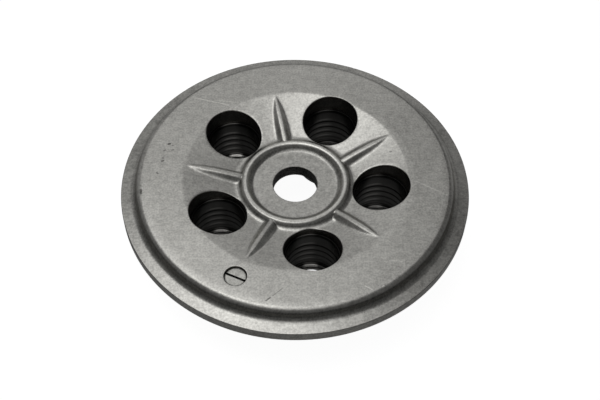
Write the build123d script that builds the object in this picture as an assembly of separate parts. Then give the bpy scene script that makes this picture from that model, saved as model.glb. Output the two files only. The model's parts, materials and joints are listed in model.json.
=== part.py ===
from build123d import *
import os
from math import tan, radians

# Clutch pressure plate for a five-spring wet multi-plate clutch, in millimetres.
# +Z is the plate's axis and points out of its outer face. The origin is on the axis,
# in the plane of the ends of the five spring bosses, on which the plate stands.
# A radius is measured from the axis of what it belongs to, and a "drop" is measured
# down from the flat ring, the highest machined face.

# Rim: the thin flange whose underside presses the friction plates.
outer_radius = 74.0
flange_drop = 5.5
rim_thickness = 4.6
rim_chamfer = 0.3
friction_width = 16.0
friction_wall_draft = 1.0

# Sloping step from the flange up to the flat ring. The flange itself falls a little outwards,
# and flange_drop is measured at its outer edge.
flange_width = 5.8
flange_angle = 5.0
step_width = 1.7
step_top_round = 2.8
step_foot_round = 2.8
web_thickness = 4.8
web_root_round = 1.5

# Dish: the shallow cone inside the flat ring, which starts just inside the pockets' outer edges.
dish_inset = 0.95
dish_angle = 14.15

# Hub: a flat seat for a thrust bearing round the bore, inside a raised ring. The seat is flat
# out to where the ring's inner round begins, some way inside the corner of the ring's flank.
bore_radius = 9.5
hub_ring_inner_radius = 19.0
hub_face_drop = 5.9
hub_thickness = 5.9
bore_chamfer = 0.2
hub_ring_height = 2.1
hub_ring_crest_width = 2.2
hub_ring_inner_flank = 1.1
hub_ring_outer_flank = 2.3
hub_ring_inner_round = 1.6
hub_ring_outer_round = 1.4
hub_ring_foot_round = 3.2

# Spring pockets: five bosses that hang from the dish, bored for steel spring cups.
pocket_count = 5
pocket_circle_radius = 36.75
first_pocket_angle = 65.5
pocket_radius = 12.0
boss_wall = 2.6
boss_depth = 32.0
boss_draft = 1.0
boss_end_chamfer = 0.9
ledge_thickness = 1.5
ledge_width = 2.6

# Spring cups: drawn steel, dropped in from the outer face on to the bosses' ledges.
cup_clearance = 0.05
cup_wall = 1.0
cup_floor = 1.0
cup_rim_drop = 8.2
cup_corner_chamfer = 0.7
cup_rim_chamfer = 0.35

# Star ribs on the dish, one midway between each pair of pockets. A rib's crest bows up a little
# halfway along, where its foot is still nearly as wide as at the hub.
rib_tip_inset = 1.3
rib_crest_width = 1.6
rib_crest_rise = 0.25
rib_foot_width = 8.4
rib_middle_foot_width = 7.0
rib_middle_bow = 0.5
rib_flank_sag = 0.5
rib_tip_share = 0.1
rib_root_depth = 0.8

# Stiffening webs on the underside, which stop short of the friction face.
web_rib_thickness = 3.2
web_rib_face_gap = 1.2
web_rib_hub_depth = 1.4
web_rib_start = 18.0

# Slotted plug, sunk in the flat ring.
plug_inset = 10.5
plug_angle = 245.5
plug_radius = 4.5
plug_clearance = 0.1
plug_thickness = 2.2
plug_sink = 0.9
plug_slot_width = 1.0
plug_slot_depth = 0.8
plug_edge_chamfer = 0.25

# Worked out from the sizes above.
face = boss_depth
flange = face - flange_drop
friction_face = flange - rim_thickness
friction_inner_radius = outer_radius - friction_width
step_foot_radius = outer_radius - flange_width
step_foot = flange + flange_width * tan(radians(flange_angle))
step_top_radius = step_foot_radius - step_width
dish_radius = pocket_circle_radius + pocket_radius - dish_inset
plug_circle_radius = step_top_radius - plug_inset
hub_face = face - hub_face_drop
hub_under = hub_face - hub_thickness
ring_crest = hub_face + hub_ring_height
crest_inner_radius = hub_ring_inner_radius + hub_ring_inner_flank
crest_outer_radius = crest_inner_radius + hub_ring_crest_width
ring_foot_radius = crest_outer_radius + hub_ring_outer_flank
dish_slope = tan(radians(dish_angle))
pocket_pitch = 360 / pocket_count
boss_radius = pocket_radius + boss_wall
ledge_radius = pocket_radius - ledge_width


def dish_height(radius):
    """Height of the dish's outer face at a radius."""
    return face - max(dish_radius - radius, 0) * dish_slope


def revolved(corners):
    """Solid of revolution about Z from the corners of its half section.

    A corner is (radius, height), sharp, or (radius, height, fillet radius).
    """
    points = [(corner[0], 0, corner[1]) for corner in corners]
    rounds = [corner[2] if len(corner) > 2 else 0 for corner in corners]
    outline = FilletPolyline(*points, radius=rounds, close=True)
    return revolve(make_face(outline), Axis.Z)


def plate_body():
    """The turned shape: hub, dish, flat ring, step and rim, with an even web."""
    under_face = face - web_thickness
    under_dish_radius = dish_radius - (under_face - hub_under) / dish_slope
    return revolved([
        (bore_radius, hub_face - bore_chamfer),
        (bore_radius + bore_chamfer, hub_face),
        (hub_ring_inner_radius, hub_face, hub_ring_inner_round),
        (crest_inner_radius, ring_crest, hub_ring_inner_round),
        (crest_outer_radius, ring_crest, hub_ring_outer_round),
        (ring_foot_radius, dish_height(ring_foot_radius), hub_ring_foot_round),
        (dish_radius, face),
        (step_top_radius, face, step_top_round),
        (step_foot_radius, step_foot, step_foot_round),
        (outer_radius - rim_chamfer, flange + rim_chamfer * tan(radians(flange_angle))),
        (outer_radius, flange - rim_chamfer),
        (outer_radius, friction_face + rim_chamfer),
        (outer_radius - rim_chamfer, friction_face),
        (friction_inner_radius + rim_chamfer, friction_face),
        (friction_inner_radius, friction_face + rim_chamfer),
        (friction_inner_radius - friction_wall_draft, under_face, web_root_round),
        (dish_radius, under_face),
        (under_dish_radius, hub_under),
        (bore_radius + bore_chamfer, hub_under),
        (bore_radius, hub_under + bore_chamfer),
    ])


def under_side_space():
    """Everything below the middle of the web, which trims what hangs from it."""
    middle = web_thickness / 2
    return revolved([
        (0, 0),
        (friction_inner_radius + middle, 0),
        (friction_inner_radius + middle, face - middle),
        (dish_radius, face - middle),
        (ring_foot_radius, dish_height(ring_foot_radius) - middle),
        (0, dish_height(ring_foot_radius) - middle),
    ])


def pockets():
    """Places of the pocket axes, in the plane of the boss ends."""
    return PolarLocations(pocket_circle_radius, pocket_count, first_pocket_angle)


def star():
    """Directions midway between the pockets."""
    return PolarLocations(0, pocket_count, first_pocket_angle + pocket_pitch / 2)


def boss():
    """One spring boss with casting draft, solid, standing on its own axis."""
    spread = face * tan(radians(boss_draft))
    return revolved([
        (0, 0),
        (boss_radius - boss_end_chamfer, 0),
        (boss_radius, boss_end_chamfer),
        (boss_radius + spread, face),
        (0, face),
    ])


def pocket_bore():
    """What is bored out of one boss: the spring pocket and the hole in its ledge."""
    upward = (Align.CENTER, Align.CENTER, Align.MIN)
    pocket = Pos(0, 0, ledge_thickness) * Cylinder(pocket_radius, face, align=upward)
    return pocket + Cylinder(ledge_radius, face, align=upward)


def under_rib(inner_radius, inner_height):
    """One stiffening web under the plate, from a radius out into the rim."""
    outer = friction_inner_radius + web_thickness / 2
    side = Polyline(
        (inner_radius, 0, face),
        (inner_radius, 0, inner_height),
        (outer, 0, friction_face + web_rib_face_gap),
        (outer, 0, face),
        close=True,
    )
    return extrude(make_face(side), web_rib_thickness / 2, both=True)


def rib_section(radius, crest, crest_width, foot_width, sag):
    """A section across a star rib at a radius along +X: round crest, hollow flanks.

    It stands on the dish and reaches a little way into it.
    """
    foot = dish_height(radius)
    half, wide = crest_width / 2, foot_width / 2
    middle = (crest + foot) / 2 - sag

    def flank(side):
        """From the foot to the crest, bowed inwards."""
        between = side * ((half + wide) / 2 - sag)
        return ThreePointArc(
            (radius, side * wide, foot), (radius, between, middle), (radius, side * half, crest)
        )

    top = (radius, 0, crest + crest_width / rib_crest_width * rib_crest_rise)
    root = foot - rib_root_depth
    crown = ThreePointArc((radius, -half, crest), top, (radius, half, crest))
    below = Polyline(
        (radius, wide, foot), (radius, wide, root), (radius, -wide, root), (radius, -wide, foot)
    )
    return make_face(flank(-1) + crown + flank(1) + below)


def star_rib():
    """One star rib along +X, from the hub ring's crest down to a point on the dish."""
    start = (crest_inner_radius + crest_outer_radius) / 2
    tip = dish_radius - rib_tip_inset
    middle = (start + tip) / 2
    start_crest = ring_crest - rib_crest_rise * 1.5
    tip_crest = dish_height(tip)
    middle_crest = (start_crest + tip_crest) / 2 + rib_middle_bow
    fine = rib_tip_share
    near = rib_section(start, start_crest, rib_crest_width, rib_foot_width, rib_flank_sag)
    halfway = rib_section(
        middle, middle_crest, rib_crest_width, rib_middle_foot_width, rib_flank_sag
    )
    far = rib_section(
        tip, tip_crest, fine * rib_crest_width, fine * rib_foot_width, fine * rib_flank_sag
    )
    return loft([near, halfway, far], ruled=True)


def plug_place():
    """The plug's axis, on the flat ring."""
    return Rot(0, 0, plug_angle) * Pos(plug_circle_radius, 0, face)


def plug_recess():
    """The blind hole that the plug is set in."""
    depth = plug_sink + plug_thickness
    downward = (Align.CENTER, Align.CENTER, Align.MAX)
    lift = plug_sink
    hole = Cylinder(plug_radius + plug_clearance, depth + lift, align=downward)
    return plug_place() * Pos(0, 0, lift) * hole


def pressure_plate():
    """The casting: turned body, bosses and webs under it, star ribs on it, all bored."""
    hanging = Part() + [place * boss() for place in pockets()]
    hanging += [place * under_rib(web_rib_start, hub_under - web_rib_hub_depth)
                for place in star()]
    spoke_start = pocket_circle_radius + pocket_radius + boss_wall / 2
    spokes = PolarLocations(0, pocket_count, first_pocket_angle)
    spoke_height = friction_face + web_rib_face_gap
    hanging += [place * under_rib(spoke_start, spoke_height) for place in spokes]
    casting = plate_body() + (hanging & under_side_space())
    casting += [place * star_rib() for place in star()]
    casting -= [place * pocket_bore() for place in pockets()]
    return casting - plug_recess()


def spring_cup():
    """One drawn steel cup on its own axis: open top, bored floor, bevelled corners."""
    outside = pocket_radius - cup_clearance
    inside = outside - cup_wall
    top = face - cup_rim_drop
    bottom = ledge_thickness
    seat = bottom + cup_floor
    return revolved([
        (ledge_radius, bottom),
        (outside - cup_corner_chamfer, bottom),
        (outside, bottom + cup_corner_chamfer),
        (outside, top),
        (inside + cup_rim_chamfer, top),
        (inside, top - cup_rim_chamfer),
        (inside, seat + cup_corner_chamfer),
        (inside - cup_corner_chamfer, seat),
        (ledge_radius, seat),
    ])


def slotted_plug():
    """The plug on its seat, with a slot across its middle, square to the plate's radius."""
    downward = (Align.CENTER, Align.CENTER, Align.MAX)
    disc = Cylinder(plug_radius, plug_thickness, align=downward)
    disc = chamfer(disc.edges().group_by(Axis.Z)[-1], plug_edge_chamfer)
    slot = Box(plug_slot_width, 4 * plug_radius, 2 * plug_slot_depth)
    return plug_place() * Pos(0, 0, -plug_sink) * (disc - slot)


def main():
    os.makedirs("parts", exist_ok=True)
    export_step(pressure_plate(), "parts/pressure_plate.step")
    for number, place in enumerate(pockets(), start=1):
        export_step(place * spring_cup(), f"parts/spring_cup_{number}.step")
    export_step(slotted_plug(), "parts/slotted_plug.step")


main()
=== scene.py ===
# %% [markdown]
# # Clutch pressure plate
# A pressure plate squeezes the friction plates of a motorcycle clutch. This one is a light metal
# casting, turned on its outer face, with five deep bosses that hold the clutch springs in steel
# cups. The packed CAD model is the frame: it gives every place and size, and the pieces made here
# stand exactly where its nodes are. Lengths are in metres, +Z points out of the outer face.

# %% Load the frame
import json
import math

import bmesh
import bpy
import numpy as np
from mathutils import Matrix, Vector

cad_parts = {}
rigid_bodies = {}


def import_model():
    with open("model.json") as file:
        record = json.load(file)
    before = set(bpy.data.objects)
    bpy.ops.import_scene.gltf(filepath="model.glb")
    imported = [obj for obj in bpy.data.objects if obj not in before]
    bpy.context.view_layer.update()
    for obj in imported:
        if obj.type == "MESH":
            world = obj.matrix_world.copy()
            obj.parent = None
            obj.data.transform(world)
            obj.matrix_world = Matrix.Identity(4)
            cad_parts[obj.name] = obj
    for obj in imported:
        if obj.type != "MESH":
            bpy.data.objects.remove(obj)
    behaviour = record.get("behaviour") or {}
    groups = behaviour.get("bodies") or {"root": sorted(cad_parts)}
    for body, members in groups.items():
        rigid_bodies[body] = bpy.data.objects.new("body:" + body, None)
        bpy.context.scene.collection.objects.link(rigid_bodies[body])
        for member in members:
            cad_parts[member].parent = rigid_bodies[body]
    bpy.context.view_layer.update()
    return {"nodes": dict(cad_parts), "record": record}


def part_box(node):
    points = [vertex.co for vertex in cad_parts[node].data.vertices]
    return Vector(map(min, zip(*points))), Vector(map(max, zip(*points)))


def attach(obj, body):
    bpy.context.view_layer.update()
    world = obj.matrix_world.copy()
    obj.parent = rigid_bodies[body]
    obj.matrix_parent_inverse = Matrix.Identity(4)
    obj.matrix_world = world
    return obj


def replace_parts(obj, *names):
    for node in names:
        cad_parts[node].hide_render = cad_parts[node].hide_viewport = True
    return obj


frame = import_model()
MM = 0.001
mounts = {mount["name"]: mount for mount in frame["record"]["mounts"]}
print("nodes:", sorted(frame["nodes"]))

# %% [markdown]
# ## Sizes from the frame
# A mount in the record says where a bore or a face really is, so the height of each machined face,
# the bore, the ledges' holes and the places of the pockets are read from it. Boxes round the nodes
# give the rest: the outer radius, the cups and the plug.

# %% Read the sizes
face = mounts["outer_face"]["pos_m"][2]
friction_face = mounts["friction_face"]["pos_m"][2]
hub_face = mounts["bearing_seat"]["pos_m"][2]
plate_low, plate_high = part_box("pressure_plate")
outer_radius = (plate_high.x - plate_low.x) / 2
bore_radius = mounts["centre_bore"]["dims"]["r_mm"] * MM
ledge_radius = mounts["post_holes"]["dims"]["hole_r_mm"] * MM
pocket_circle_radius = mounts["post_holes"]["dims"]["pcd_mm"] / 2 * MM
seats = [mounts[name] for name in sorted(mounts) if name.startswith("spring_seat")]
pocket_angles = [math.atan2(seat["pos_m"][1], seat["pos_m"][0]) for seat in seats]
half_pitch = math.pi / len(seats)
plug_low, plug_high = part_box("slotted_plug")
plug_radius = (plug_high.x - plug_low.x) / 2
plug_centre = np.array([(plug_low.x + plug_high.x) / 2, (plug_low.y + plug_high.y) / 2])
cup_low, cup_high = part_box("spring_cup_1")
cup_radius = (cup_high.x - cup_low.x) / 2
print("outer radius", round(outer_radius / MM, 2), "pockets at", np.degrees(pocket_angles).round(1))

# %% [markdown]
# ## Sizes that only the casting has
# These are the corners of the turned outline, the bosses, the star ribs and the webs, which no
# mount names. They are written once, here, and everything below uses them.

# %% Sizes of the turned outline
dish_slope = math.tan(math.radians(14.15))
pocket_radius = cup_radius + 0.05 * MM
dish_radius = pocket_circle_radius + pocket_radius - 0.95 * MM
web_thickness = 4.8 * MM
flange = friction_face + 4.6 * MM
flange_slope = math.tan(math.radians(5.0))
friction_inner_radius = outer_radius - 16.0 * MM
step_foot_radius = outer_radius - 6.2 * MM
step_top_radius = step_foot_radius - 0.8 * MM
step_foot = flange + (outer_radius - step_foot_radius) * flange_slope
hub_under = hub_face - 5.9 * MM
ring_inner_radius = 19.0 * MM
ring_crest = hub_face + 2.4 * MM
ring_crest_radius = ring_inner_radius + 2.25 * MM
ring_foot_radius = ring_inner_radius + 5.5 * MM
edge_break, bore_break, top_break = 0.3 * MM, 0.2 * MM, 0.2 * MM
edge_round = 0.15 * MM
print("dish radius", round(dish_radius / MM, 2), "step from", round(step_top_radius / MM, 2))

# %% Sizes of the bosses, ribs and webs
ledge_height = cup_low.z
mouth_round = 0.35 * MM
boss_radius = pocket_radius + 2.6 * MM
boss_draft = math.tan(math.radians(1.0))
boss_end_round, boss_root_round = 0.9 * MM, 2.0 * MM
rib_direction = pocket_angles[0] + half_pitch
rib_start = ring_crest_radius + 1.4 * MM
rib_tip = dish_radius - 1.5 * MM
rib_bow = 0.5 * MM
web_start = 18.0 * MM
web_edge = friction_face + 1.2 * MM
web_half = 1.2 * MM
print("ribs from", round(rib_start / MM, 2), "to", round(rib_tip / MM, 2))

# %% [markdown]
# ## Profiles
# A lathe makes the plate's main shape, so its outline is a short list of corners with a radius at
# each. `rounded_path` puts the arc in at every corner. The dense line that comes out serves twice:
# as a path to sweep round the axis, and as a height at any radius. The underside's line also has
# points where its grids begin and end, so that the grids meet it exactly.

# %% Rounded outlines
def rounded_path(corners, steps=7):
    """Dense (radius, height) points along corners of (radius, height, fillet).

    An arc starts fillet * tan(turn / 2) before its corner. Each of its points is the arc's
    centre plus the fillet times (into * sin(a) - normal * cos(a)), for a from 0 to the turn.
    """
    corners = np.array(corners, float)
    path = [corners[:1, :2]]
    for before, here, after in zip(corners, corners[1:], corners[2:]):
        into, out = here[:2] - before[:2], after[:2] - here[:2]
        into, out = into / np.linalg.norm(into), out / np.linalg.norm(out)
        cross, along = into[0] * out[1] - into[1] * out[0], into @ out
        turn = abs(math.atan2(cross, along))
        normal = math.copysign(1, cross) * np.array([-into[1], into[0]])
        centre = here[:2] - into * here[2] * math.tan(turn / 2) + normal * here[2]
        swing = np.linspace(0, turn, steps if here[2] else 1)[:, None]
        path.append(centre + here[2] * (into * np.sin(swing) - normal * np.cos(swing)))
    path.append(corners[-1:, :2])
    return np.vstack(path)


corner = rounded_path([(0, 0, 0), (10, 0, 2), (10, 10, 0)])
print("an arc at one corner takes", len(corner) - 2, "points")

# %% Outline of the outer face
def dish_height(radius):
    """Height of the dish's outer face: the flat ring, less the slope inside the dish radius."""
    return face - np.maximum(dish_radius - radius, 0) * dish_slope


outer_side = rounded_path([
    (bore_radius, hub_face - bore_break, 0),
    (bore_radius + bore_break, hub_face, edge_round),
    (ring_inner_radius, hub_face, 2.8 * MM),
    (ring_inner_radius + 1.3 * MM, ring_crest, 1.6 * MM),
    (ring_inner_radius + 3.4 * MM, ring_crest, 1.4 * MM),
    (ring_foot_radius, dish_height(ring_foot_radius), 2.9 * MM),
    (dish_radius, face, 0.4 * MM),
    (step_top_radius, face, 2.6 * MM),
    (step_foot_radius, step_foot, 2.8 * MM),
    (outer_radius - top_break, flange + top_break * flange_slope, edge_round),
    (outer_radius, flange - top_break, 0),
])
print("outer outline", len(outer_side), "points")

# %% Outline of the underside
under_face = face - web_thickness
under_dish_radius = dish_radius - (under_face - hub_under) / dish_slope
fan_under_low, fan_under_high = web_start + 0.6 * MM, 54.6 * MM
under_side = rounded_path([
    (bore_radius, hub_face - bore_break, 0),
    (bore_radius, hub_under + bore_break, 0),
    (bore_radius + bore_break, hub_under, edge_round),
    (web_start - 1.2 * MM, hub_under, 0),
    (web_start - 0.4 * MM, hub_under, 0),
    (fan_under_low, hub_under, 0),
    (under_dish_radius, hub_under, 0),
    (dish_radius, under_face, 3.0 * MM),
    (fan_under_high, under_face, 0),
    (friction_inner_radius - 1.0 * MM, under_face, 1.5 * MM),
    (friction_inner_radius, friction_face + edge_break, edge_round),
    (friction_inner_radius + edge_break, friction_face, edge_round),
    (outer_radius - edge_break, friction_face, edge_round),
    (outer_radius, friction_face + edge_break, edge_round),
    (outer_radius, flange - top_break, 0),
])
print("underside", len(under_side), "points, flat from", round(under_dish_radius / MM, 2))

# %% [markdown]
# ## Ribs as heights
# Seen from straight above, a casting is mostly a height over a plan, because it has to come out of
# its die. So the star ribs are a height too. A rib is a roof, and where it meets the dish the
# larger of the two heights is taken softly, which leaves the hollow fillet a pattern maker cuts.
# The webs that stiffen the underside are made the same way, upside down.

# %% Soft edges and a five-fold plan
def soft_max(a, b, blend):
    """The larger of a and b, rounded over a band of blend where they are nearly equal.

    share = (blend + b - a) / (2 * blend), held in 0..1; the result is the mix of a and b by
    share, plus blend * share * (1 - share).
    """
    share = np.clip(0.5 + 0.5 * (b - a) / blend, 0, 1)
    return a * (1 - share) + b * share + blend * share * (1 - share)


def from_star(x, y, first):
    """Distances along and across the nearest of five directions, the first at an angle.

    The azimuth from that direction is folded into plus or minus half a pitch.
    """
    radius = np.hypot(x, y)
    turn = np.mod(np.arctan2(y, x) - first + half_pitch, 2 * half_pitch) - half_pitch
    return radius * np.cos(turn), radius * np.sin(turn)


print("soft maximum of two equal heights adds", soft_max(0.0, 0.0, 1.0), "of the blend")

# %% Star ribs
def outer_height(x, y):
    """Height of the outer face: the turned outline, with a star rib midway between pockets.

    A rib's crest runs from the hub ring to the dish, bowed up by bow * 4 * s * (1 - s), and
    falls away past both its ends. Across it, the roof falls by across^2 / 10 mm, and beyond
    crest_half also by flank * (sqrt(beyond^2 + edge^2) - edge).
    """
    flank, edge, start_fall, tip_fall = 1.3, 0.5 * MM, 1.5, 0.6
    base = np.interp(np.hypot(x, y), outer_side[:, 0], outer_side[:, 1])
    along, across = from_star(x, y, rib_direction)
    share = np.clip((along - rib_start) / (rib_tip - rib_start), 0, 1)
    crest = (ring_crest - 0.5 * MM) * (1 - share) + dish_height(rib_tip) * share
    crest = crest + rib_bow * 4 * share * (1 - share)
    crest = crest - start_fall * np.maximum(rib_start - along, 0)
    crest = crest - tip_fall * np.maximum(along - rib_tip, 0)
    rise = np.maximum(crest - base, 0)
    crest_half = np.minimum(0.8 * MM, 0.7 * rise)
    beyond = np.maximum(np.abs(across) - crest_half, 0)
    drop = flank * (np.hypot(beyond, edge) - edge) + across**2 / (10 * MM)
    blend = 0.15 * MM + np.minimum(1.2 * rise, 2.2 * MM)
    return soft_max(base, crest - drop, blend)


middle = (rib_start + rib_tip) / 2
crest = outer_height(middle * math.cos(rib_direction), middle * math.sin(rib_direction))
print("a rib's middle stands", round((crest - dish_height(middle)) / MM, 2), "over the dish")

# %% Webs of the underside
def with_webs(x, y, height):
    """Underside height with its stiffening webs, under the ribs and outside the bosses.

    A web's edge is a straight line from its inner end to the rim, and beyond half its
    thickness it rises 4 for 1, as drafted flanks. A soft minimum joins it to the plate.
    """
    flank, end_rise, blend = 4, 2, 0.8 * MM
    webs = [(rib_direction, web_start, hub_under - 1.4 * MM),
            (pocket_angles[0], pocket_circle_radius + boss_radius, web_edge)]
    for direction, inner, inner_height in webs:
        along, across = from_star(x, y, direction)
        slope = (web_edge - inner_height) / (friction_inner_radius - inner)
        edge = inner_height + slope * (along - inner)
        edge = edge + flank * np.maximum(np.abs(across) - web_half, 0)
        edge = edge + end_rise * np.maximum(inner - along, 0)
        height = -soft_max(-height, -edge, blend)
    return height


def under_height(x, y):
    """Height of the underside inside the rim: the turned outline, with its webs."""
    level = (under_side[:, 0] > bore_radius + 0.1 * MM) & (under_side[:, 0] <= fan_under_high)
    line = under_side[level]
    return with_webs(x, y, np.interp(np.hypot(x, y), line[:, 0], line[:, 1]))


deep = under_height(middle * math.cos(rib_direction), middle * math.sin(rib_direction))
print("plate and web are", round((dish_height(middle) - deep) / MM, 2), "deep below a rib")

# %% [markdown]
# ## Grids that fit round holes
# A square grid can't end cleanly on a round hole. Here each pocket gets its own patch: lines run
# like spokes from the hole's edge out to a fan-shaped border, and the rest of the plate is rings
# round the axis that use the same border points. The hole is then exactly round and every
# neighbouring grid shares its points, so the whole casting closes without a gap.

# %% One closed mesh of many grids
class Surface:
    """Collects grids of points and makes one closed mesh of them."""

    def __init__(self):
        self.points, self.faces, self.finishes, self.count = [], [], [], 0

    def add(self, grid, keep=None, finish=0):
        """Adds rows by columns of points; each kept cell's four corners are a face.

        The finish is the place of the faces' material in the piece's list.
        """
        rows, columns = grid.shape[:2]
        index = self.count + np.arange(rows * columns).reshape(rows, columns)
        cells = np.stack([index[:-1, :-1], index[:-1, 1:], index[1:, 1:], index[1:, :-1]], axis=-1)
        self.faces.append(cells.reshape(-1, 4) if keep is None else cells[keep])
        self.finishes.append(np.full(len(self.faces[-1]), finish, np.int32))
        self.points.append(grid.reshape(-1, 3))
        self.count += rows * columns

    def piece(self, name, sharp=40):
        """The finished object: doubles merged, normals outward, smooth but for sharp edges."""
        mesh = bpy.data.meshes.new(name)
        mesh.from_pydata(np.vstack(self.points), [], np.vstack(self.faces).tolist())
        mesh.polygons.foreach_set("material_index", np.concatenate(self.finishes))
        work = bmesh.new()
        work.from_mesh(mesh)
        bmesh.ops.remove_doubles(work, verts=work.verts, dist=1e-6)
        bmesh.ops.dissolve_degenerate(work, edges=work.edges, dist=1e-7)
        bmesh.ops.recalc_face_normals(work, faces=work.faces)
        open_edges = sum(1 for edge in work.edges if not edge.is_manifold)
        volume = work.calc_volume(signed=True)
        triangles = sum(len(part.verts) - 2 for part in work.faces)
        work.to_mesh(mesh)
        work.free()
        mesh.shade_smooth()
        mesh.set_sharp_from_angle(angle=math.radians(sharp))
        made = bpy.data.objects.new(name, mesh)
        bpy.context.scene.collection.objects.link(made)
        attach(made, "root")
        print(name, "triangles", triangles, "open edges", open_edges, "mm3", round(volume / MM**3))
        return made


casting = Surface()
print("casting begins with", casting.count, "points")

# %% Circles and fans
def around(centre, angles, radii, heights):
    """Points on circles about a centre, for arrays of angles, radii and heights."""
    x = centre[0] + radii * np.cos(angles)
    y = centre[1] + radii * np.sin(angles)
    return np.stack(np.broadcast_arrays(x, y, heights), axis=-1)


def turned(grid, angle):
    """The grid turned about the plate's axis."""
    cos, sin = math.cos(angle), math.sin(angle)
    x, y = grid[..., 0], grid[..., 1]
    return np.stack([x * cos - y * sin, x * sin + y * cos, grid[..., 2]], axis=-1)


def fan_border(angles, radii):
    """Closed border of a fan about +X: outer arc, far side inwards, inner arc back, near side."""
    outer = around((0, 0), angles, radii[-1], 0)
    far = around((0, 0), angles[-1], radii[::-1], 0)
    inner = around((0, 0), angles[::-1], radii[0], 0)
    near = around((0, 0), angles[0], radii, 0)
    return np.vstack([outer, far[1:], inner[1:], near[1:]])[:, :2]


def bearing(points, centre):
    """Angles of points seen from a centre, without a jump where they pass half a turn."""
    return np.unwrap(np.arctan2(points[:, 1] - centre[1], points[:, 0] - centre[0]))


print("a fan's border of 5 by 4 points has", len(fan_border(np.zeros(5), np.ones(4))), "points")

# %% Spokes and lips
def spokes(border, centre, angles, hole_radius, lip, rows):
    """Plan grid from a hole's edge out to a border, and each point's distance from the hole.

    The first rows are at lip * (1 - cos(a)) from the edge, where the lip is rounded. The rest
    go straight to the border, by 1 - (1 - t)^1.5, so that they are closer together near it.
    """
    near = hole_radius + lip * (1 - np.cos(np.linspace(0, math.pi / 2, 5)))[:, None]
    lip_rows = around(centre, angles, near, 0)[..., :2]
    share = 1 - (1 - np.linspace(0, 1, rows)[1:, None, None]) ** 1.5
    straight = lip_rows[-1] * (1 - share) + border * share
    plan = np.concatenate([lip_rows, straight])
    away = np.hypot(plan[..., 0] - centre[0], plan[..., 1] - centre[1]) - hole_radius
    return plan, away


def lip_drop(distance, lip):
    """How far a quarter-round lip has fallen at a distance from the hole's edge."""
    inside = np.clip(lip - distance, 0, lip)
    return lip - np.sqrt(lip * lip - inside * inside)


print("at a pocket's edge the lip has fallen", round(lip_drop(0.0, mouth_round) / MM, 2))

# %% [markdown]
# ## Where the spokes stand
# All rings share one set of angles, so they are chosen once for a fan, closer together towards its
# sides, where the ribs are. A few more stand at the flanks of the short webs, which lie on the
# middle lines of the fans, near the rim.

# %% Angles round the plate
share = np.linspace(-1, 1, 45)
fan_angles = half_pitch * (0.5 * share + 0.5 * np.sin(share * math.pi / 2))
short_web = np.array([0.9, 1.4, 2.0]) * MM / (56 * MM)
fan_angles = np.union1d(fan_angles, np.concatenate([-short_web, short_web]))
sector_angles = [pocket_angles[0] + 2 * half_pitch * number for number in range(len(seats))]
all_angles = np.concatenate([middle + fan_angles[:-1] for middle in sector_angles])
all_angles = np.append(all_angles, all_angles[0] + 2 * math.pi)
print("points round a full ring:", len(all_angles) - 1)

# %% [markdown]
# ## The casting: outer face
# Now the grids go together. Rings make the hub and the rim, and five fans make the dish round the
# pockets. The rings take the outline's own radii, so its round corners come out as drawn.

# %% Hub and rim
fan_low, fan_high = 23.4 * MM, 50.7 * MM
recess_high = 61.6 * MM


def outer_rings(radii):
    """Rings on the outer face at those radii."""
    grid = around((0, 0), all_angles[None, :], radii[:, None], 0)
    grid[..., 2] = outer_height(grid[..., 0], grid[..., 1])
    return grid


def radii_between(low, high):
    """The outline's own radii between two radii, with both of them."""
    radii = outer_side[:, 0]
    inside = radii[(radii > low + 0.05 * MM) & (radii < high - 0.05 * MM)]
    return np.concatenate([[low], inside, [high]])


casting.add(outer_rings(radii_between(bore_radius, fan_low)))
casting.add(outer_rings(radii_between(recess_high, outer_radius)))
print("casting has", casting.count, "points")

# %% Dish with the pockets' mouths
pocket_centre = (pocket_circle_radius, 0)
border = fan_border(fan_angles, np.linspace(fan_low, fan_high, 26))
pocket_columns = bearing(border, pocket_centre)
plan, away = spokes(border, pocket_centre, pocket_columns, pocket_radius, mouth_round, 20)
for middle in sector_angles:
    fan = turned(np.dstack([plan, np.zeros_like(away)]), middle)
    fan[..., 2] = outer_height(fan[..., 0], fan[..., 1]) - lip_drop(away, mouth_round)
    casting.add(fan)
mouth_heights = fan[0, :, 2]
print("pocket mouths from", (mouth_heights.min() / MM).round(2), "to",
      (mouth_heights.max() / MM).round(2))

# %% [markdown]
# ## The casting: recess of the plug
# The plug lies in a flat-bottomed recess, milled into the flat ring. A window is left open in the
# rings there, and a small fan of spokes fills it round the recess. The recess's wall and bottom
# are three rings about its own axis, of which the last has no radius and closes the bottom.

# %% Recess of the plug
recess_radius, recess_lip = plug_radius + 0.1 * MM, 0.2 * MM
plug_angle = math.atan2(plug_centre[1], plug_centre[0])
recess_centre = (float(np.hypot(*plug_centre)), 0)
recess_rows = np.linspace(fan_high, recess_high, 12)
from_plug = np.mod(all_angles - plug_angle + math.pi, 2 * math.pi) - math.pi
window = np.abs(from_plug) < math.radians(7)
covered = window[:-1] & window[1:]
kept = np.broadcast_to(~covered, (len(recess_rows) - 1, len(covered)))
casting.add(outer_rings(recess_rows), kept)

border = fan_border(from_plug[window], recess_rows)
recess_columns = bearing(border, recess_centre)
plan, away = spokes(border, recess_centre, recess_columns, recess_radius, recess_lip, 8)
casting.add(turned(np.dstack([plan, face - lip_drop(away, recess_lip)]), plug_angle))
wall_heights = np.array([face - recess_lip, plug_low.z, plug_low.z])[:, None]
wall_radii = np.array([recess_radius, recess_radius, 0])[:, None]
wall = around(recess_centre, recess_columns[None, :], wall_radii, wall_heights)
casting.add(turned(wall, plug_angle))
print("recess", round(recess_radius / MM, 2), "deep", round((face - plug_low.z) / MM, 2))

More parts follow.
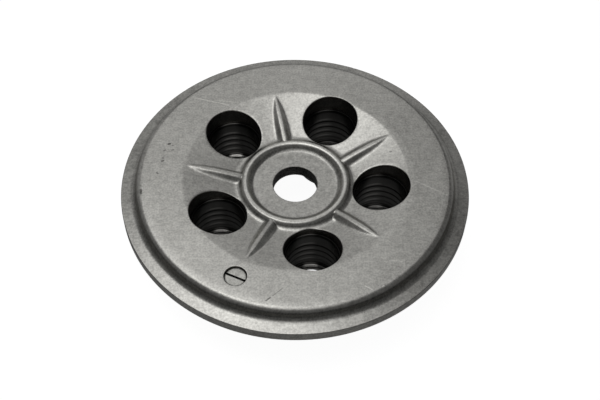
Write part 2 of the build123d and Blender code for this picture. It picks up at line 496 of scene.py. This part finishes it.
# %% [markdown]
# ## The casting: underside, rim and pockets
# The underside is made the same way, and its patches use the same spokes as the patches above
# them. Each pocket then goes on down as rings about its own axis: bore, ledge, hole, boss end, and
# the boss's wall up to the hollow fillet at its root. The bores and the bosses' ends get a second,
# darker finish, which is painted shade.

# %% Underside and rim
cast_finish, shaded_finish = 0, 1
inner_part = under_side[under_side[:, 0] <= fan_under_low + 0.001 * MM]
rim_part = under_side[under_side[:, 0] >= fan_under_high - 0.001 * MM]
for path, finish in ((inner_part[:2], shaded_finish), (inner_part[1:], cast_finish),
                     (rim_part, cast_finish)):
    grid = around((0, 0), all_angles[None, :], path[:, :1], path[:, 1:])
    webbed = with_webs(grid[..., 0], grid[..., 1], grid[..., 2])
    inside = path[:, :1] <= friction_inner_radius + 0.001 * MM
    grid[..., 2] = np.where(inside, webbed, grid[..., 2])
    casting.add(grid, finish=finish)
print("casting has", casting.count, "points")

# %% Bosses and their bores
root_radius = boss_radius + under_face * boss_draft
border = fan_border(fan_angles, np.linspace(fan_under_low, fan_under_high, 26))
plan, away = spokes(border, pocket_centre, pocket_columns, root_radius, boss_root_round, 14)
end_round = np.linspace(0, math.pi / 2, 5)
end_radii = boss_radius + boss_end_round * (np.cos(end_round) - 1)
end_heights = boss_end_round * (1 - np.sin(end_round))
radii = [root_radius, *end_radii, ledge_radius, ledge_radius, pocket_radius, pocket_radius]
heights = [0, *end_heights, 0, ledge_height, ledge_height, 0]
level = np.repeat(np.array(heights)[:, None], len(pocket_columns), axis=1)
wall_rows = 1 + len(end_radii)
for middle in sector_angles:
    fan = turned(np.dstack([plan, np.zeros_like(away)]), middle)
    fan[..., 2] = under_height(fan[..., 0], fan[..., 1]) - lip_drop(away, boss_root_round)
    casting.add(fan)
    level[0], level[-1] = fan[0, :, 2], mouth_heights
    rings = around(pocket_centre, pocket_columns[None, :], np.array(radii)[:, None], level)
    casting.add(turned(rings[:wall_rows], middle))
    casting.add(turned(rings[wall_rows - 1:], middle), finish=shaded_finish)

plate = casting.piece("cast_plate")
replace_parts(plate, "pressure_plate")

# %% [markdown]
# ## Spring cups
# A cup is drawn from sheet steel, so its wall is thin and even and its corners are round. The
# spring's coils have rubbed rings into its wall, which show as shallow grooves. The profile is a
# closed line of corners, and one sweep about the pocket's axis makes the whole cup.

# %% Profile of a cup
cup_wall, cup_floor = 1.0 * MM, 1.0 * MM
cup_inside = cup_radius - cup_wall
floor_top = cup_low.z + cup_floor
coil_pitch, coil_height, coil_top = 3.6 * MM, 10.6 * MM, 19.0 * MM
groove_heights = coil_height - 1.1 * MM + coil_pitch * np.arange(-1, 3)
groove_half, groove_depth = 0.8 * MM, 0.22 * MM


def cup_profile():
    """Closed outline of a cup's wall and floor, with worn grooves on the inside.

    A groove's depth at a height is depth * (1 + cos(pi * distance / half width)) / 2.
    """
    inner_low, inner_high = floor_top + 1.2 * MM, cup_high.z - 0.4 * MM
    up = np.linspace(inner_low, inner_high, 110)
    near = np.abs(up[:, None] - groove_heights[None, :]).min(axis=1) / groove_half
    depth = groove_depth * (1 + np.cos(math.pi * np.minimum(near, 1))) / 2
    inside = np.column_stack([cup_inside + depth, up])
    shell = rounded_path([
        (cup_inside, inner_high, 0),
        (cup_inside + 0.05 * MM, cup_high.z, 0.3 * MM),
        (cup_radius, cup_high.z, 0.3 * MM),
        (cup_radius, cup_low.z, 0.8 * MM),
        (ledge_radius, cup_low.z, 0.2 * MM),
        (ledge_radius, floor_top, 0.25 * MM),
        (cup_inside, floor_top, 1.1 * MM),
        (cup_inside, inner_low, 0),
    ], steps=5)
    return np.vstack([inside, shell[1:]])


profile = cup_profile()
print("profile of", len(profile), "points, grooves at", (groove_heights / MM).round(1))

# %% Cups
cup_columns = np.linspace(0, 2 * math.pi, 97)
for number, seat in enumerate(seats, start=1):
    cup = Surface()
    cup.add(around(seat["pos_m"][:2], cup_columns[None, :], profile[:, :1], profile[:, 1:]))
    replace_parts(cup.piece(f"cup_{number}", sharp=60), f"spring_cup_{number}")

# %% [markdown]
# ## Sums of sockets
# A finish is a sum of small effects: grain, mottling, scratches. Node trees for such sums are hard
# to read, so a socket gets Python's operators, and every other node comes from one method.

# %% Node maths
class Wire:
    """A number or colour that comes out of a node, and can be added and multiplied."""

    def __init__(self, socket):
        self.socket, self.tree = socket, socket.id_data

    def node(self, kind, settings=(), inputs=(), out=0):
        """Adds a node to the same tree: its settings first, then values or wires by socket."""
        made = self.tree.nodes.new(kind)
        for name, value in dict(settings).items():
            setattr(made, name, value)
        for name, value in dict(inputs).items():
            if isinstance(value, Wire):
                self.tree.links.new(value.socket, made.inputs[name])
            else:
                made.inputs[name].default_value = value
        return Wire(made.outputs[out])

    def maths(self, operation, *numbers, clamp=False):
        """A Math node on numbers or wires, held in 0..1 if clamp is set."""
        settings = {"operation": operation, "use_clamp": clamp}
        return self.node("ShaderNodeMath", settings, enumerate(numbers))

    def vector(self, operation, inputs, out=0):
        """A Vector Math node; its number comes out at 1, its vector at 0."""
        return self.node("ShaderNodeVectorMath", {"operation": operation}, inputs, out)

    def __add__(self, other):
        return self.maths("ADD", self, other)

    def __sub__(self, other):
        return self.maths("SUBTRACT", self, other)

    def __rsub__(self, other):
        return self.maths("SUBTRACT", other, self)

    def __mul__(self, other):
        return self.maths("MULTIPLY", self, other)

    __radd__, __rmul__ = __add__, __mul__

    def step(self, low, high):
        """0 below low, 1 above high, and a smooth rise between them; high may be the lower."""
        if low > high:
            return 1 - self.step(high, low)
        settings = {"interpolation_type": "SMOOTHSTEP"}
        return self.node("ShaderNodeMapRange", settings, {"Value": self, 1: low, 2: high})

    def mix(self, first, second):
        """A colour that goes from first to second as this goes from 0 to 1."""
        inputs = {0: self, 6: first, 7: second}
        return self.node("ShaderNodeMix", {"data_type": "RGBA"}, inputs, out=2)


print("operators from the right:", [name for name in vars(Wire) if name.startswith("__r")])

# %% Materials and places
def new_finish(name, metallic, roughness):
    """A material, its shader and its object coordinates, with the flat numbers set."""
    material = bpy.data.materials.new(name)
    material.use_nodes = True
    shader = material.node_tree.nodes["Principled BSDF"]
    shader.inputs["Metallic"].default_value = metallic
    shader.inputs["Roughness"].default_value = roughness
    place = Wire(material.node_tree.nodes.new("ShaderNodeTexCoord").outputs["Object"])
    print("finish", name)
    return material, shader, place


def feed(shader, **wires):
    """Links wires to the shader's sockets: base_color goes into Base Color, and so on."""
    for name, wire in wires.items():
        socket = shader.inputs[name.replace("_", " ").title()]
        socket.id_data.links.new(wire.socket, socket)


def noise(place, scale, detail):
    """Cloudy noise of a scale, in blotches to the metre, and so many finer layers."""
    return place.node("ShaderNodeTexNoise", (), {"Vector": place, "Scale": scale, "Detail": detail})


def axis(place, number):
    """The x, y or z of a place, by number."""
    return place.node("ShaderNodeSeparateXYZ", (), {0: place}, out=number)


def plan_radius(place):
    """Distance from the plate's axis, as seen from above."""
    flat = place.vector("MULTIPLY", {0: place, 1: (1, 1, 0)})
    return flat.vector("LENGTH", {0: flat}, out=1)

# %% Distance to a line
def gap_to(place, x, y, to_x, to_y):
    """Distance in the plan to the line between two points, which are in mm.

    The nearest point of the line is its start plus its way times the share along it, held in
    0..1, where the share is the dot product of the place and way / length^2.
    """
    start, way = np.array([x, y]) * MM, np.array([to_x - x, to_y - y]) * MM
    plan = place.vector("MULTIPLY_ADD", {0: place, 1: (1, 1, 0), 2: (*-start, 0)})
    along = plan.vector("DOT_PRODUCT", {0: plan, 1: (*(way / (way @ way)), 0)}, out=1)
    share = along.maths("ADD", along, 0.0, clamp=True)
    foot = plan.vector("SCALE", {0: (*way, 0), "Scale": share})
    return plan.vector("DISTANCE", {0: plan, 1: foot}, out=1)

# %% [markdown]
# ## Cast light metal
# A casting of light alloy that has been turned and then used is dull and mottled. The mottling
# comes from noise of three sizes, and a noise drawn out sideways adds the faint streaks that
# handling leaves. The same noise makes the surface a little uneven, by a bump, and gives it
# patches that shine less. Painted shade, painted highlights and scratches go into the same sum,
# so each is one more term.

# %% Cast metal
stain_scale, mottle_scale, grain_scale, streak_scale = 50, 380, 1250, 1100


def cast_metal(name, tone, marks=(), painted_light=None):
    """Cast and turned light alloy: dull, mottled, with a fine grain and a few marks.

    Noise of several sizes, the painted shade and highlights and the marks add up to a shade,
    which scales the tone. A mark is full within half its half width of its line and gone at one
    and a half.
    """
    material, shader, place = new_finish(name, metallic=1.0, roughness=0.3)
    stain, mottle = noise(place, stain_scale, 4), noise(place, mottle_scale, 4)
    grain = noise(place, grain_scale, 3)
    shade = 1.0
    for layer, strength in ((stain, 0.08), (mottle, 0.17), (grain, 0.30)):
        shade = (layer.step(0.3, 0.7) - 0.5) * strength + shade
    drawn = place.vector("MULTIPLY", {0: place, 1: (0.2, 1, 1)})
    shade = (noise(drawn, streak_scale, 2).step(0.3, 0.7) - 0.5) * 0.09 + shade
    # Painted shade and highlights, from the function given for them.
    if painted_light:
        shade = painted_light(place) + shade
    for *line, half_width, change in marks:
        gap = gap_to(place, *line)
        shade = gap.step(1.5 * half_width * MM, 0.5 * half_width * MM) * change + shade
    uneven = {"Strength": 0.35, "Distance": 0.00012, "Height": mottle * 0.5 + grain * 0.5}
    feed(shader,
         base_color=place.vector("SCALE", {0: tone, "Scale": shade}),
         roughness=stain * 0.08 + mottle * 0.08 + 0.22,
         normal=place.node("ShaderNodeBump", (), uneven))
    return material


print("mottling of", round(1000 / mottle_scale, 1), "mm, grain of", 1000 / grain_scale, "mm")

# %% [markdown]
# ## Painted shade and highlight
# Shade is painted into the inner corners: inside and outside the hub's ring, on the ribs' flanks
# near the hub, and at the foot of the step. A highlight is painted on the ring's crest. The flange
# and the flat ring are painted darker on some sides than on others. Everything is a step of the
# radius, the height or the distance from a rib, so the painted light follows the shape.

# %% Painted shade in the corners
# Each band: its radius, its half width and its change. Painted shade inside the hub's ring and at
# the step's foot, and a painted highlight on the ring's crest.
painted_ring_bands = [
    (ring_inner_radius - 0.2 * MM, 1.2 * MM, -0.38),
    (step_foot_radius, 1.2 * MM, -0.2),
    (ring_crest_radius - 0.2 * MM, 0.8 * MM, 0.38),
]


def shaded_flanks(place, radius):
    """1 on the ribs' flanks near the hub, where shade is painted.

    The angle to the nearest rib is a triangle wave of the plan's angle, so one term does for
    all the ribs; times the radius it is the distance from the rib's middle line.
    """
    x, y = axis(place, 0), axis(place, 1)
    angle = y.maths("ARCTAN2", y, x) - rib_direction
    across = angle.maths("PINGPONG", angle, half_pitch) * radius
    flank = across.step(0.9 * MM, 1.6 * MM) * across.step(3.4 * MM, 2.2 * MM)
    return flank * radius.step(38 * MM, 25 * MM) * radius.step(22.5 * MM, 24 * MM)


def shaded_sides(place, radius):
    """Painted shade on some sides of the hub's seat, the flat ring and the flange."""
    x, y = axis(place, 0), axis(place, 1)
    seat = radius.step(18 * MM, 16 * MM) * (x + y).step(-12 * MM, 12 * MM)
    ring = radius.step(49.6 * MM, 51 * MM) * radius.step(67 * MM, 65 * MM)
    ring = ring * x.step(15 * MM, 55 * MM)
    rim = radius.step(66 * MM, 69 * MM)
    left = rim * x.step(-30 * MM, -70 * MM)
    right = rim * x.step(5 * MM, 45 * MM) * y.step(5 * MM, -35 * MM)
    back = radius.step(64 * MM, 67 * MM) * y.step(15 * MM, 50 * MM)
    return seat * -0.11 + ring * -0.11 + left * -0.16 + right * -0.2 + back * -0.13


def painted_shade_and_highlight(place):
    """Painted shade in the corners round the hub's ring, the ribs and the step, and on some sides;
    a painted highlight on the ring's crest.
    """
    radius = plan_radius(place)
    total = shaded_flanks(place, radius) * -0.26 + shaded_sides(place, radius)
    for at, half_width, change in painted_ring_bands:
        away = radius.maths("ABSOLUTE", radius - at)
        total = away.step(half_width, 0.3 * half_width) * change + total
    # Painted shade at the outer foot of the hub's ring, low on the surface.
    dish = dish_height(ring_foot_radius)
    low = axis(place, 2).step(dish + 1.9 * MM, dish + 1.2 * MM)
    away = radius.maths("ABSOLUTE", radius - (ring_foot_radius - 1.3 * MM))
    return away.step(1.3 * MM, 0.3 * MM) * low * -0.38 + total


def bore_shade(place):
    """Painted shade, deeper in the hub's bore than in the pockets."""
    return plan_radius(place).step(bore_radius + 2 * MM, bore_radius + 1 * MM) * -0.72


# The rings of painted shade and highlight are counted here.
print("dirt in", len(painted_ring_bands) + 1, "rings")

# %% [markdown]
# ## Marks of use
# The outer face has been knocked and scratched. A mark is a short line in the plan with soft
# edges: a bright one is a scratch down to clean metal, a dark one is a pit or a cut with dirt
# in it. They are so shallow that a change of shade is enough.

# %% Scratches and pits
# Each mark: from x, y to x, y and its half width, in mm, and how much lighter or darker it is.
marks = [
    (-44.8, 43.7, -29.9, 39.7, 0.30, 0.32),
    (-36.0, 42.5, -27.0, 41.5, 0.25, 0.20),
    (51.2, -2.8, 63.4, -9.9, 0.30, 0.22),
    (38.0, -43.0, 43.0, -43.5, 0.30, 0.22),
    (27.7, -55.0, 30.6, -56.9, 0.25, 0.40),
    (34.8, -55.2, 35.1, -55.2, 0.40, 0.50),
    (-10.9, -62.2, -9.3, -60.8, 0.28, -0.60),
    (-8.3, -59.9, -4.4, -56.4, 0.22, -0.40),
    (-54.9, 16.6, -54.4, 16.7, 0.45, -0.85),
    (-53.2, 15.6, -52.9, 15.8, 0.35, -0.35),
    (-53.2, 13.2, -52.8, 13.4, 0.35, -0.45),
    (-56.9, 12.6, -56.0, 13.2, 0.35, -0.45),
    (-57.0, 8.7, -56.7, 8.6, 0.40, -0.50),
    (-57.0, 6.8, -56.4, 7.3, 0.40, -0.50),
    (-58.6, 0.8, -58.2, 0.2, 0.40, -0.45),
    (-64.4, -8.6, -64.2, -10.6, 0.45, -0.70),
    (-64.9, -6.2, -64.6, -6.4, 0.35, -0.40),
    (40.9, 14.4, 41.3, 14.4, 0.45, -0.55),
]
aluminium = cast_metal("cast_aluminium", (0.605, 0.597, 0.563), marks, painted_shade_and_highlight)
plate.data.materials.append(aluminium)
# Painted shade: the bores' finish has a darker tone than the casting, and the hub's bore is darker
# still.
plate.data.materials.append(cast_metal("oiled_bore", (0.38, 0.37, 0.345), painted_light=bore_shade))
print("marks", len(marks), "finishes of the casting", len(plate.data.materials))

# %% [markdown]
# ## Steel cups
# The cups are drawn steel, nearly black with old oil. Highlights are painted along the coil lines
# on a strip of the far wall and on the round corner above the floor, brighter in some cups than
# in others, and shade is painted at the rim and on the floor.

# %% Oiled steel
# Brightness of the painted highlights in each cup: on the far wall and on the floor's corner.
wall_highlights, floor_highlights = (0.5, 1.0, 0.6, 0.6, 0.6), (0.3, 5.5, 2.0, 2.5, 1.5)


def coil_highlights(height):
    """Painted highlights along the lines where the coils touch, as a triangle wave of the height,
    and a painted highlight on the rim.
    """
    from_coil = height.maths("PINGPONG", height - coil_height, coil_pitch / 2)
    lines = from_coil.step(0.8 * MM, 0.2 * MM) * height.step(coil_top + 0.5 * MM, coil_top)
    return lines + height.step(cup_high.z - 0.8 * MM, cup_high.z - 0.4 * MM) * 0.3


def oiled_steel_with_painted_light(name, tone):
    """Drawn steel, dark with oil, with painted highlights along the coil lines and on a patch of
    floor.

    In each cup the strip of wall and the patch of floor with painted highlights lie on the far side
    of its axis; the rim and the floor get painted shade.
    """
    material, shader, place = new_finish(name, metallic=1.0, roughness=0.3)
    height = axis(place, 2)
    lines = coil_highlights(height)
    floor = height.step(floor_top + 1.4 * MM, floor_top + 0.6 * MM)
    on_floor = floor * height.step(floor_top - 0.3 * MM, floor_top - 0.05 * MM)
    # Painted shade at the rim and on the floor.
    rim_shade = height.step(cup_high.z - 2.0 * MM, cup_high.z - 1.0 * MM)
    shade = (noise(place, 160, 4) * 0.4 + 0.5) * (1 - rim_shade * 0.9) * (1 - floor * 0.6)
    # Painted highlights: a strip of the far wall along the coil lines, and a patch of the floor's
    # corner.
    for seat, wall_highlight, floor_highlight in zip(seats, wall_highlights, floor_highlights):
        x, y = np.array(seat["pos_m"][:2]) / MM
        strip = gap_to(place, x - 2.5, y + 4, x - 2.5, y + 12).step(5.0 * MM, 1.2 * MM)
        patch = gap_to(place, x - 0.5, y + 4, x - 0.5, y + 12).step(3.8 * MM, 1.6 * MM)
        shade = strip * (1 - floor) * wall_highlight * (lines * 2.2 + 0.5) + shade
        shade = patch * on_floor * floor_highlight + shade
    feed(shader, base_color=place.vector("SCALE", {0: tone, "Scale": shade}))
    return material


steel = oiled_steel_with_painted_light("cup_steel", (0.15, 0.147, 0.14))
for number in range(1, len(seats) + 1):
    bpy.data.objects[f"cup_{number}"].data.materials.append(steel)
print("cups in steel:", len(seats))

# %% [markdown]
# ## Slotted plug
# The plug is the CAD node itself, because a plain disc with a slot needs no finer shape. It is
# of the same metal as the casting, and shade is painted into its slot and along its edge. Whatever
# lies below its top is slot or bevel, so the height alone finds them.

# %% Plug
def plug_shade(place):
    """Painted shade along the plug's edge, and in all that lies below its top: the slot and the
    bevel.
    """
    arm = place.vector("SUBTRACT", {0: place, 1: (*plug_centre, 0)})
    edge = plan_radius(arm).step(plug_radius - 0.9 * MM, plug_radius - 0.3 * MM)
    sunk = axis(place, 2).step(plug_high.z - 0.05 * MM, plug_high.z - 0.2 * MM)
    return sunk.maths("MAXIMUM", sunk, edge * 0.8) * -0.93


plug = frame["nodes"]["slotted_plug"]
plug.data.materials.clear()
plug.data.materials.append(cast_metal("plug_aluminium", (0.57, 0.565, 0.53), painted_light=plug_shade))
print("plug at", (plug_centre / MM).round(1))

# %% [markdown]
# ## Floor and background
# The plate lies on a round pale sheet on a dark bench. A camera ray sees the floor glow white, but
# for the small share that is left to the light under the plate, so that its shadow stays. The
# metal mirrors that glow too, though weakly, so that its steep front stays dark; the glow is
# stronger behind the plate, which the far side of the step mirrors.

# %% Floor
floor_half = 4.0
corners = [(x * floor_half, y * floor_half, 0) for x, y in ((-1, -1), (1, -1), (1, 1), (-1, 1))]
mesh = bpy.data.meshes.new("floor")
mesh.from_pydata(corners, [], [(0, 1, 2, 3)])
floor = bpy.data.objects.new("floor", mesh)
bpy.context.scene.collection.objects.link(floor)

paper, shader, place = new_finish("white_paper", metallic=0.0, roughness=0.9)
shader.inputs["Specular IOR Level"].default_value = 0.0
shader.inputs["Emission Strength"].default_value = 1.0
path = paper.node_tree.nodes.new("ShaderNodeLightPath")
seen = Wire(path.outputs["Is Camera Ray"])
mirrored = Wire(path.outputs["Is Glossy Ray"]) + Wire(path.outputs["Is Transmission Ray"])
near = place.vector("LENGTH", {0: place}, out=1).step(130 * MM, 100 * MM)
on_right, behind = axis(place, 0).step(-20 * MM, 80 * MM), axis(place, 1).step(30 * MM, 90 * MM)
# Painted reflection: mirror rays see the floor glow, more behind the plate and, near it, to its
# right.
glow = near * (on_right * 0.05 + 0.03) + behind * 0.21 + 0.015
feed(shader,
     base_color=near.mix((0.05, 0.05, 0.05, 1), (0.3, 0.3, 0.3, 1)),
     emission_color=seen * (near * -0.05 + 1.0) + mirrored * glow)
floor.data.materials.append(paper)

world = bpy.data.worlds.new("studio")
bpy.context.scene.world = world
world.use_nodes = True
background = world.node_tree.nodes["Background"]
background.inputs["Color"].default_value = (0.097, 0.097, 0.097, 1)
background.inputs["Strength"].default_value = 1.0
print("floor", 2 * floor_half, "m wide")

# %% [markdown]
# ## Lamps
# Metal shows what stands round it, so a tent of large, soft, even panels lights it, each a square
# area lamp. Their brightnesses differ by direction. The brightest stands high at the back left
# and lights the dish's far slope; the weaker, low ones draw the step and the hub's ring.

# %% Lamps
panel_distance = 1.1
brightness = 0.95


def softbox(name, azimuth, elevation, size, radiance):
    """A square lamp that looks at the plate from a direction, in degrees and metres.

    A flat lamp of even brightness sends out pi * area * radiance watts.
    """
    lamp = bpy.data.lights.new(name, "AREA")
    lamp.shape, lamp.size, lamp.energy = "SQUARE", size, math.pi * size**2 * radiance
    stand = bpy.data.objects.new(name, lamp)
    bpy.context.scene.collection.objects.link(stand)
    turn, lift = math.radians(azimuth), math.radians(elevation)
    way = Vector((math.cos(turn) * math.cos(lift), math.sin(turn) * math.cos(lift), math.sin(lift)))
    stand.location = way * panel_distance
    stand.rotation_euler = way.to_track_quat("Z", "Y").to_euler()
    print(name, "gives", round(lamp.energy, 2), "watts")


for name, azimuth, elevation, size, radiance in [
    ("key", 150, 70, 0.7, 0.83), ("top", 0, 90, 0.7, 0.37), ("high_back", 90, 70, 0.7, 0.25),
    ("high_front", 270, 70, 0.7, 0.26), ("high_left", 210, 70, 0.7, 0.20),
    ("back", 90, 50, 0.7, 0.19), ("back_left", 130, 50, 0.7, 0.05),
    ("low_back", 90, 30, 0.7, 0.22), ("low_back_left", 130, 30, 0.7, 0.12),
    ("low_left", 170, 30, 0.7, 0.050), ("left_front", 230, 50, 0.7, 0.045),
    ("level_left", 135, 12, 0.6, 0.11), ("level_right", 45, 12, 0.6, 0.106),
]:
    softbox(name, azimuth, elevation, size, brightness * radiance)

# %% [markdown]
# ## Camera
# The camera looks down at the middle of the outer face from the front, at less than half a metre.
# It is first aimed exactly, then panned and tilted a little so that the plate stands off the
# middle of the picture, and rolled by half a degree. Each turn is a sum of two axes, and the lens
# is 1.72 times as long as the sensor is wide.

# %% Camera
target = Vector((0, 0, face))
elevation, distance = math.radians(51.3756), 437.54 * MM
pan, tilt, roll = math.atan(-0.004773), math.atan(0.0240304), math.radians(-0.5134)
sensor_width, lens_in_widths = 36.0, 1033.79 / 600

forward = Vector((0, math.cos(elevation), -math.sin(elevation)))
right = Vector((1, 0, 0))
up = right.cross(forward)
side = math.cos(pan) * right + math.sin(pan) * forward
ahead = math.cos(pan) * forward - math.sin(pan) * right
top = math.cos(tilt) * up + math.sin(tilt) * ahead
ahead = math.cos(tilt) * ahead - math.sin(tilt) * up
across = math.cos(roll) * side - math.sin(roll) * top
above = math.sin(roll) * side + math.cos(roll) * top

camera = bpy.data.objects.new("camera", bpy.data.cameras.new("camera"))
bpy.context.scene.collection.objects.link(camera)
columns = [across, above, -ahead, target - distance * forward]
rows = [[column[row] for column in columns] for row in range(3)]
camera.matrix_world = Matrix(rows + [[0, 0, 0, 1]])
camera.data.sensor_width = sensor_width
camera.data.lens = lens_in_widths * sensor_width
bpy.context.scene.camera = camera
bpy.context.scene.view_settings.view_transform = "Standard"
print("camera at", [round(value, 4) for value in camera.location])

# %% [markdown]
